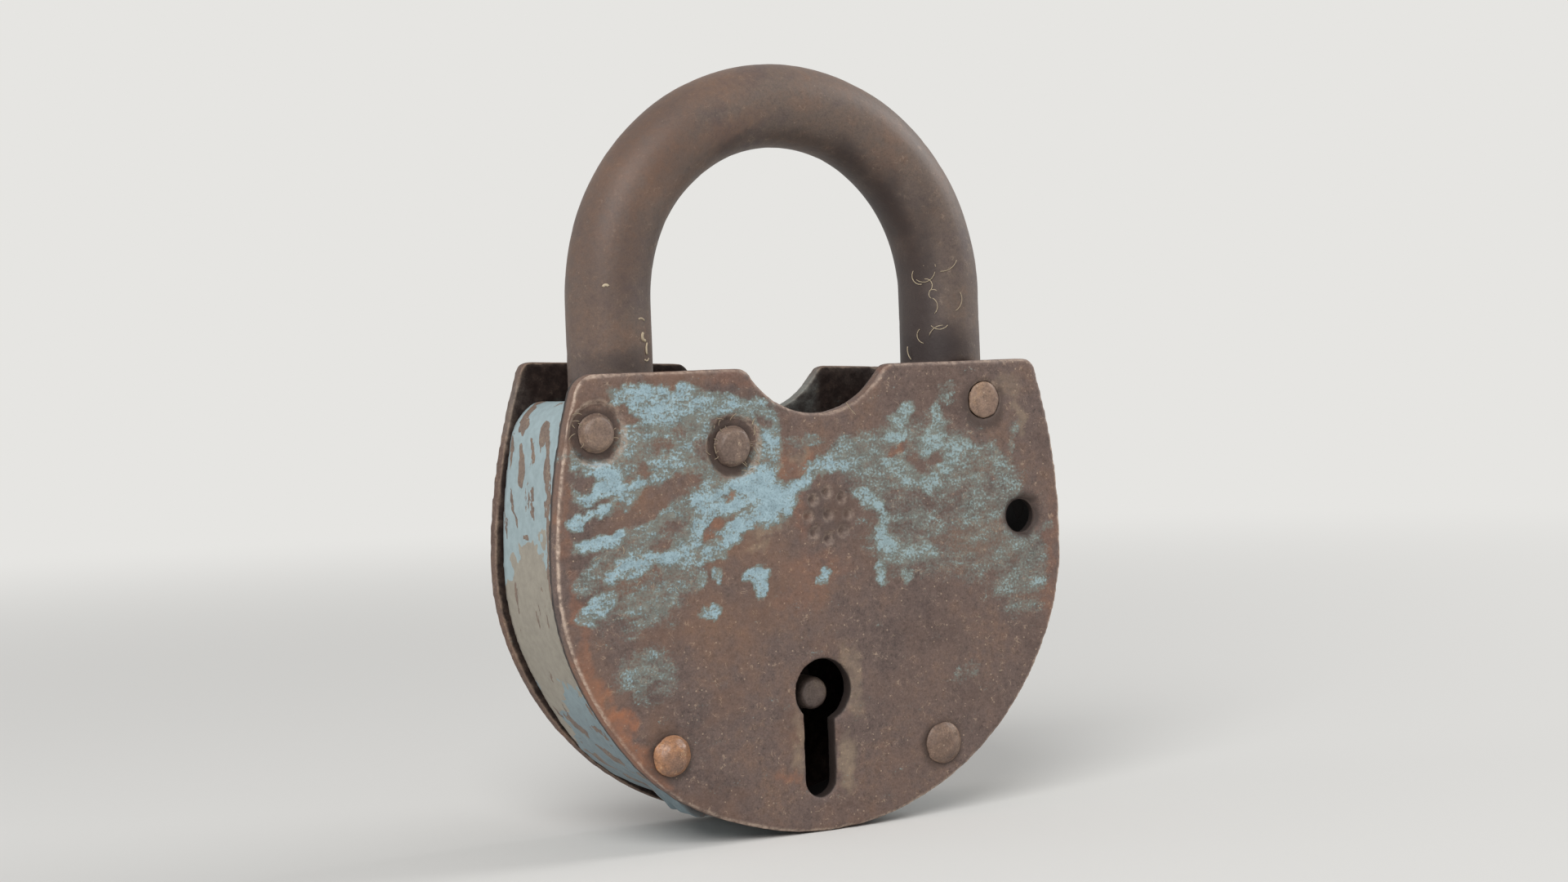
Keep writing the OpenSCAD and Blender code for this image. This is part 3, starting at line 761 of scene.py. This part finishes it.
brush(
    front,
    "orange",
    [
        (-36.4, -76, 7, 1.2, -68, 0.6), (-32.6, -81.6, 5, 1.5, -50, 0.7), (-28.8, -86.6, 4, 1.2, -38, 0.6),
        (-38.8, -66, 8, 1.0, -82, 0.45), (-40.6, -52, 6, 0.6, 90, 0.25), (-32.8, -78.8, 1.9, 1.3, -30, 1.0),
        (-7, -45.3, 2.3, 1.6, 0, 0.28), (-3.2, -44.2, 1.4, 0.9, 50, 0.5), (-17.8, -53.4, 1.6, 0.8, 48, 0.4),
        (-15.3, -49.2, 1.4, 0.7, 15, 0.6), (12.6, -43.8, 1.5, 0.6, 10, 0.35), (-2, -59.6, 5, 2.2, 0, 0.22),
        (-3.8, -52.5, 0.9, 3.4, 0, 0.3), (-7, -89, 1.8, 1.1, 0, 0.45), (-4.5, -63.5, 4, 2, 0, 0.2),
        (-15, -32.8, 3.5, 0.9, -8, 0.3), (9.8, -32.4, 1.5, 0.5, 30, 0.35),
        (38.6, -62, 1.2, 9, -4, 0.25), (30, -92, 8, 1.5, 35, 0.2),
    ],
    wander=1.5,
)
brush(
    front,
    "dusty",
    [
        (3.2, -76, 1.4, 4.5, 8, 0.5), (2.2, -88, 1.3, 3.6, 0, 0.75), (-5.5, -84, 1.0, 4.5, 0, 0.5),
        (33.4, -40, 0.9, 2.6, 15, 0.6), (31.5, -35.5, 2.5, 1.6, 0, 0.35), (-9.5, -53.8, 3, 0.8, 22, 0.55),
        (-11, -56.4, 2.4, 0.6, 15, 0.5), (-4, -44, 1.6, 0.8, 45, 0.5), (28, -58, 6, 4, 0, 0.2),
    ],
    wander=1.5,
)

# Dark rings round the rivets, the empty rivet hole and the punch ring: dirt, with painted shade in the
# sinkings.
brush(
    front,
    "grime_and_shade",
    [
        (-35.6, -39.6, 3.5, 3.6, 0, 0.85), (-14.9, -42.5, 3.5, 3.8, 0, 0.9),
        (27.2, -38.0, 3.5, 3.6, 0, 0.8),
        (33.7, -54.65, 3.1, 3.1, 0, 1.0), (18.3, -87, 3.5, 3.4, 0, 0.75), (-26.1, -84.2, 3.4, 3.4, 0, 0.6),
        (0.3, -52.6, 3.9, 3.9, 0, 0.35),
    ],
    wander=0.6,
    soft=0.4,
)
# Painted shade: the walls of the keyhole and of the empty rivet hole are darkened, and no pale edge is laid
# there.
brush(
    front,
    "bore",
    [(-0.9, -77.5, 6, 6, 0, 1.0), (-0.9, -88, 4.5, 8, 0, 1.0), (33.7, -54.65, 3.6, 3.6, 0, 1.0)],
    soft=0.3,
)
# Where the front plate's edges are pale: rubbed wear and a painted highlight along the rims.
brush(
    front,
    "handled_and_highlit",
    [
        (-38.6, -36, 4, 2, 62, 1.0), (-41.5, -52, 16, 1.6, 90, 1.0), (-39, -70, 12, 1.8, -72, 0.8),
        (-36, -32, 4, 1.5, 0, 0.8), (40.5, -56, 3, 18, 0, 1.0), (35, -78, 3, 12, -28, 0.9),
        (17, -94, 12, 2.5, 20, 0.9), (-9, -96, 14, 2.5, -6, 0.8)
    ],
    ground=0.5,
)

plate_rust, parts = rusted_steel("front_plate_rusted_steel", "#5c4c47", "#6d5b54", "#786053", "#b09a85", 2)
cover = add(plate_rust, "Attribute", attribute_name="paint").outputs["Fac"]
orange = add(plate_rust, "Attribute", attribute_name="orange").outputs["Fac"]
dusty = add(plate_rust, "Attribute", attribute_name="dusty").outputs["Fac"]
drift = add(
    plate_rust, "TexNoise",
    {"Vector": parts["place"], "Scale": 1 / (15 * MM), "Detail": 4.0, "Roughness": 0.7}
).outputs["Fac"]
drift = add(plate_rust, "ValToRGB", {"Fac": drift}, stops=[(0.44, 0.0), (0.62, 0.42)]).outputs["Color"]
plate_x = add(
    plate_rust, "SeparateXYZ", {"Vector": add(plate_rust, "TexCoord").outputs["Object"]}
).outputs["X"]
warmer = add(
    plate_rust, "MapRange",
    {"Value": plate_x, "From Min": -6 * MM, "From Max": 16 * MM, "To Min": 1.0, "To Max": 0.25},
).outputs["Result"]
drift = add(plate_rust, "Math", {0: drift, 1: warmer}, operation="MULTIPLY").outputs[0]
parts["colour"] = add(
    plate_rust, "MixRGB", {"Fac": drift, "Color1": parts["colour"], "Color2": linear("#86634c")}
).outputs["Color"]
fresh = add(plate_rust, "Math", {0: parts["mottle"], 1: 1.6, 2: -0.2}, operation="MULTIPLY_ADD").outputs[0]
fresh = add(plate_rust, "Math", {0: fresh, 1: orange}, operation="MULTIPLY").outputs[0]
parts["colour"] = add(
    plate_rust, "MixRGB", {"Fac": fresh, "Color1": parts["colour"], "Color2": linear("#a2694a")}
).outputs["Color"]
settled = add(plate_rust, "Math", {0: parts["mottle"], 1: dusty}, operation="MULTIPLY").outputs[0]
parts["colour"] = add(
    plate_rust, "MixRGB", {"Fac": settled, "Color1": parts["colour"], "Color2": linear("#a8957c")}
).outputs["Color"]
colour, painted = flaked_paint(plate_rust, parts, cover, "#9cb5be", "#858f89", 25)
side = add(
    plate_rust, "MapRange", {"Value": plate_x, "From Min": -2 * MM, "From Max": 14 * MM, "To Max": 0.3},
    interpolation_type="SMOOTHSTEP",
).outputs["Result"]
side = add(plate_rust, "Math", {0: side, 1: painted}, operation="MULTIPLY").outputs[0]
colour = add(
    plate_rust, "MixRGB", {"Fac": side, "Color1": colour, "Color2": linear("#97a59d")}
).outputs["Color"]
# Painted shade on the hole walls, darkest where they face sideways.
bore = add(plate_rust, "Attribute", attribute_name="bore").outputs["Fac"]
facing = add(
    plate_rust, "SeparateXYZ", {"Vector": add(plate_rust, "TexCoord").outputs["Normal"]}
).outputs["Y"]
facing = add(plate_rust, "Math", {0: facing}, operation="ABSOLUTE").outputs[0]
facing = add(
    plate_rust, "MapRange", {"Value": facing, "From Min": 0.85, "From Max": 0.45}
).outputs["Result"]
painted_wall_shade = add(plate_rust, "Math", {0: bore, 1: facing}, operation="MULTIPLY").outputs[0]
handled_and_highlit = add(plate_rust, "Attribute", attribute_name="handled_and_highlit").outputs["Fac"]
handled_and_highlit = add(plate_rust, "Math", {0: handled_and_highlit, 1: bore}, operation="SUBTRACT", use_clamp=True).outputs[0]
colour = edge_wear_and_highlight(plate_rust, parts, colour, handled_and_highlit, "#c4ae9d")
# Dirt and painted shade in the sinkings, then painted shade on the hole walls.
colour = blacken(
    plate_rust, colour, add(plate_rust, "Attribute", attribute_name="grime_and_shade").outputs["Fac"], "#42342e"
)
colour = blacken(plate_rust, colour, painted_wall_shade, "#2a201c")
# Painted shade: the front plate's inner face is darkened almost to black.
depth = add(
    plate_rust, "SeparateXYZ", {"Vector": add(plate_rust, "TexCoord").outputs["Object"]}
).outputs["Y"]
inside = add(
    plate_rust, "MapRange", {"Value": depth, "From Min": -9.7 * MM, "From Max": -9.1 * MM, "To Max": 0.97}
).outputs["Result"]
colour = blacken(plate_rust, colour, inside)
height = add(
    plate_rust, "Math", {0: painted, 1: 0.35, 2: parts["height"]}, operation="MULTIPLY_ADD"
).outputs[0]
dress(plate_rust, colour, 0.68, height, 0.15 * MM)
front.data.materials.append(plate_rust)

# ---------------------------------------------------------------- rivets
# Mild steel rivets, hammered over by hand at both ends, so no two heads match:
# the guide rivets are flat-topped, the pivot is nearly flush, and the lower left
# one is a rounded head that has rusted bright orange.

head_rust, parts = rusted_steel("rivet_rust", "#64534b", "#7d695d", "#937a67", "#b5a18c", 33)
dress(head_rust, parts["colour"], 0.5, parts["height"], 0.07 * MM)
orange_rust, parts = rusted_steel("orange_rivet_rust", "#8a6a57", "#ab7c5a", "#c98246", "#d4b592", 36)
dress(orange_rust, parts["colour"], 0.34, parts["height"], 0.06 * MM)
dark_rust, parts = rusted_steel("dark_rivet_rust", "#6b574d", "#816959", "#957864", "#b5a18d", 42)
dress(dark_rust, parts["colour"], 0.5, parts["height"], 0.07 * MM)
pivot_rust, parts = rusted_steel("rubbed_rivet_rust", "#7d6558", "#957b69", "#a58468", "#b7a28c", 39)
dress(pivot_rust, parts["colour"], 0.5, parts["height"], 0.06 * MM)

rivets = {
    "toe_guide_rivet": (
        [
            (0, -12.3), (1.4, -12.35), (2.0, -12.25), (2.35, -11.9), (2.65, -11.2), (2.88, -10.75),
            (2.6, -10.6), (1.5, -10.5)
        ],
        1.5, 2.6, head_rust
    ),
    "bolt_guide_rivet": (
        [
            (0, -12.3), (1.5, -12.36), (2.1, -12.2), (2.5, -11.8), (2.85, -11.2), (3.03, -10.75),
            (2.6, -10.6), (1.9, -10.5)
        ],
        1.9, 3.0, head_rust
    ),
    "pivot_rivet": (
        [
            (0, -11.7), (1.6, -11.72), (2.3, -11.66), (2.6, -11.52), (2.76, -11.3), (2.78, -11.05),
            (2.5, -10.9)
        ],
        2.5, 3.4, pivot_rust
    ),
    "lower_left_rivet": (
        [
            (0, -13.25), (0.9, -13.15), (1.6, -12.9), (2.2, -12.5), (2.7, -11.95), (3.02, -11.4),
            (2.8, -11.2), (1.6, -11.1)
        ],
        1.6, 3.0, orange_rust
    ),
    "lower_right_rivet": (
        [
            (0, -12.15), (0.5, -12.3), (1.1, -12.4), (1.8, -12.2), (2.4, -11.9), (2.9, -11.6),
            (3.15, -11.3), (2.9, -11.1), (1.6, -11.0)
        ],
        1.6, 3.0, dark_rust
    ),
}
for count, (node, (head, shank, rear_head, finish)) in enumerate(rivets.items()):
    tail = [
        (shank, 11.2), (rear_head * 0.9, 11.3), (rear_head, 11.6), (rear_head * 0.85, 12.0),
        (rear_head * 0.55, 12.25), (0, 12.28)
    ]
    bm = turned(head + tail, node, 56)
    weather(bm, (1.5 * MM, 0.34 * MM), (0.6 * MM, 0.12 * MM), 40 + count)
    head_piece = piece(node + "_worn", bm, "case", "rivet_steel", node)
    head_piece.data.materials.append(finish)

# ---------------------------------------------------------------- dirt and straw
# Dry plant fibres, lint and a few bits of straw caught on the lock: they gather round
# the guide rivets, in the paint's edges and at the feet of the shackle. Each one
# is a thin curved strand half sunk in the dirt that holds it.


def strand(bm, x, y, z, bend, start, sweep, thick):
    """Adds a closed strand bent round a front-to-back axis at (x, y, z), in millimetres and degrees."""
    centre = Vector((x, y, z)) * MM
    place = Matrix.Translation(centre) @ Matrix.Rotation(radians(start), 4, "Y")
    place = place @ Matrix.Translation((bend * MM, 0, 0))
    ring = bmesh.ops.create_circle(bm, cap_ends=True, segments=5, radius=thick * MM, matrix=place)["verts"]
    faces = list(dict.fromkeys(face for v in ring for face in v.link_faces))
    edges = list(dict.fromkeys(edge for v in ring for edge in v.link_edges))
    bmesh.ops.spin(
        bm, geom=ring + edges + faces, cent=centre, axis=(0, 1, 0), angle=radians(sweep), steps=7,
        use_merge=False,
    )


lint, parts = rusted_steel("dry_plant_fibre", "#8d7d6a", "#a8987f", "#bfb096", "#cfc2a8", 52, 0.3)
dress(lint, parts["colour"], 0.85, parts["height"], 0.02 * MM)
straw, parts = rusted_steel("dry_straw", "#a3937c", "#bcab90", "#cfc0a4", "#dccfb6", 55, 0.3)
dress(straw, parts["colour"], 0.7, parts["height"], 0.02 * MM)

dice = random.Random(11)
items = []
for x, z, wide, tall, count in (
    (-27, -66, 9, 8, 60), (28, -70, 7, 9, 44), (-20, -46, 13, 7, 50), (18, -48, 12, 9, 50),
    (-31, -55, 6, 8, 24), (4, -62, 16, 6, 16), (15, -88, 12, 5, 12), (-12, -86, 8, 6, 10),
):
    for _ in range(count):
        spot = (x + dice.uniform(-wide, wide), z + dice.uniform(-tall, tall))
        bend = dice.uniform(0.5, 2.2)
        holes = ((0, -77, 6), (-0.5, -86, 4), (33.7, -54.65, 4), (0, -30, 11))
        inside = (spot[0] / 38) ** 2 + ((spot[1] + 58) / 35) ** 2 < 1
        if inside and all(hypot(spot[0] - hx, spot[1] - hz) > hr for hx, hz, hr in holes):
            items.append(
                (
                    spot[0], -11.27, spot[1], bend, dice.uniform(0, 360), 60 / bend,
                    dice.uniform(0.035, 0.065)
                )
            )
for x, z, count in ((-35.3, -39.45, 12), (-14.5, -42.15, 20)):
    for _ in range(count):
        turn = dice.uniform(150, 400)
        spot = (x + 3.2 * cos(radians(turn)), z - 3.2 * sin(radians(turn)))
        items.append(
            (
                spot[0], -11.2, spot[1], dice.uniform(0.8, 1.8), dice.uniform(0, 360),
                dice.uniform(20, 60), 0.045
            )
        )
items.append((10.6, -11.3, -32.5, 8, 130.6, 16, 0.06))
bm = bmesh.new()
for item in items:
    strand(bm, *item)
bmesh.ops.recalc_face_normals(bm, faces=bm.faces)
plate_lint = piece("plate_lint", bm, "case", None)
plate_lint.data.materials.append(lint)

bm = bmesh.new()
for leg, around, z, bend, start, sweep, thick in (
    (-27.5, 29, -26.6, 0.6, 80, 150, 0.27), (-27.5, 22, -25.0, 0.9, 240, 80, 0.18),
    (-27.5, 44, -28.4, 1.4, 150, 70, 0.15),
    (-27.5, 32, -29.4, 0.6, 20, 120, 0.16), (-27.4, -29, -19.8, 0.4, 200, 130, 0.24),
    (-26.9, -48, -15.9, 0.4, 60, 100, 0.14),
    (27.35, -58, -18.8, 1.3, 80, 150, 0.07), (27.4, -50, -20.3, 1.0, 260, 160, 0.07),
    (27.2, -42, -17.6, 0.9, 190, 170, 0.07),
    (26.9, -22, -15.9, 2.4, 20, 75, 0.05), (27.5, -48, -23.4, 1.4, 300, 110, 0.06),
    (27.5, -33, -25.2, 1.6, 40, 100, 0.06),
    (27.5, -18, -22.4, 2.0, 330, 90, 0.05), (27.5, -55, -27.6, 1.2, 100, 130, 0.07),
    (27.5, -28, -28.4, 2.2, 200, 70, 0.05),
    (27.3, -52, -18.0, 1.8, 10, 120, 0.05), (27.5, -60, -29.6, 2.4, 140, 50, 0.08),
    (27.5, -40, -21.6, 0.7, 120, 200, 0.06),
):
    before = set(bm.verts)
    strand(bm, leg, -5.9, z, bend, start, sweep, thick)
    bmesh.ops.rotate(
        bm, verts=[v for v in bm.verts if v not in before], cent=(leg * MM, 0, 0),
        matrix=Matrix.Rotation(radians(around), 3, "Z"),
    )
bmesh.ops.recalc_face_normals(bm, faces=bm.faces)
caught = piece("caught_straw", bm, "shackle", None)
caught.data.materials.append(straw)

# ---------------------------------------------------------------- studio
# A plain pale floor under the lock's lowest point, soft light from high on the
# left with weaker ones from both sides, and the camera at the lock's front left.


def sees_background(surface):
    """Is 1 for the rays that show the pale room: from the camera, a gloss or through glass."""
    ray = add(surface, "LightPath").outputs
    rays = {0: ray["Is Camera Ray"], 1: ray["Is Transmission Ray"]}
    rays = {0: add(surface, "Math", rays, operation="MAXIMUM").outputs[0], 1: ray["Is Glossy Ray"]}
    return add(surface, "Math", rays, operation="MAXIMUM").outputs[0]


floor = bmesh.new()
bmesh.ops.create_circle(
    floor, cap_ends=True, segments=96, radius=3.0, matrix=Matrix.Translation((0, 0, cad_box[0][2]))
)
mesh = bpy.data.meshes.new("floor")
floor.to_mesh(mesh)
floor.free()
floor = bpy.data.objects.new("floor", mesh)
bpy.context.scene.collection.objects.link(floor)
pale = bpy.data.materials.new("pale_matt_floor")
pale.use_nodes = True
pale_shader = pale.node_tree.nodes["Principled BSDF"]
pale_shader.inputs["Base Color"].default_value = linear("#e2e1de")
pale_shader.inputs["Roughness"].default_value = 0.9
pale_shader.inputs["Specular IOR Level"].default_value = 0.0
reach = add(
    pale, "VectorMath", {0: add(pale, "TexCoord").outputs["Object"]}, operation="LENGTH"
).outputs["Value"]
far = add(
    pale, "MapRange", {"Value": reach, "From Min": 0.12, "From Max": 0.7},
    interpolation_type="SMOOTHSTEP"
)
far = add(
    pale, "Math", {0: far.outputs["Result"], 1: sees_background(pale)}, operation="MULTIPLY"
).outputs[0]
glow = add(pale, "Emission", {"Color": linear("#e6e5e2"), "Strength": 1.0}).outputs["Emission"]
fade = add(pale, "MixShader", {0: far, 1: pale_shader.outputs["BSDF"], 2: glow}).outputs["Shader"]
pale.node_tree.links.new(fade, pale.node_tree.nodes["Material Output"].inputs["Surface"])
floor.data.materials.append(pale)

world = bpy.data.worlds.new("soft_room")
bpy.context.scene.world = world
world.use_nodes = True
ambient = world.node_tree.nodes["Background"]
ambient.inputs["Color"].default_value = (1.0, 1.0, 1.0, 1.0)
ambient.inputs["Strength"].default_value = 0.33
seen = add(world, "Background", {"Color": linear("#e6e5e2"), "Strength": 1.0}).outputs["Background"]
mixed = add(
    world, "MixShader", {0: sees_background(world), 1: ambient.outputs["Background"], 2: seen}
).outputs["Shader"]
world.node_tree.links.new(mixed, world.node_tree.nodes["World Output"].inputs["Surface"])

middle = Vector((0, 0, -0.04))
for name, place, size, power in (
    ("key_light", (-0.55, -0.6, 0.6), 0.7, 7.5),
    ("side_light", (0.7, -0.1, 0.35), 0.4, 2.6),
    ("rim_light", (-0.75, 0.25, 0.15), 0.4, 0.5),
):
    lamp = bpy.data.lights.new(name, "AREA")
    lamp.shape = "DISK"
    lamp.size = size
    lamp.energy = power
    holder = bpy.data.objects.new(name, lamp)
    holder.matrix_world = Matrix.LocRotScale(place, (middle - Vector(place)).to_track_quat("-Z", "Y"), None)
    bpy.context.scene.collection.objects.link(holder)

YAW, PITCH, ROLL = radians(30.04), radians(1.95), radians(-1.9)
camera = bpy.data.cameras.new("camera")
camera.sensor_width = 36
camera.lens = 60.12
camera.clip_start = 0.01
viewer = bpy.data.objects.new("camera", camera)
turn = Euler((0, 0, -YAW)).to_matrix() @ Euler(
    (pi / 2 - PITCH, 0, 0)
).to_matrix() @ Euler((0, 0, ROLL)).to_matrix()
viewer.matrix_world = Matrix.Translation((-0.1894, -0.32763, -0.02936)) @ turn.to_4x4()
bpy.context.scene.collection.objects.link(viewer)
bpy.context.scene.camera = viewer
bpy.context.scene.view_settings.view_transform = "Standard"
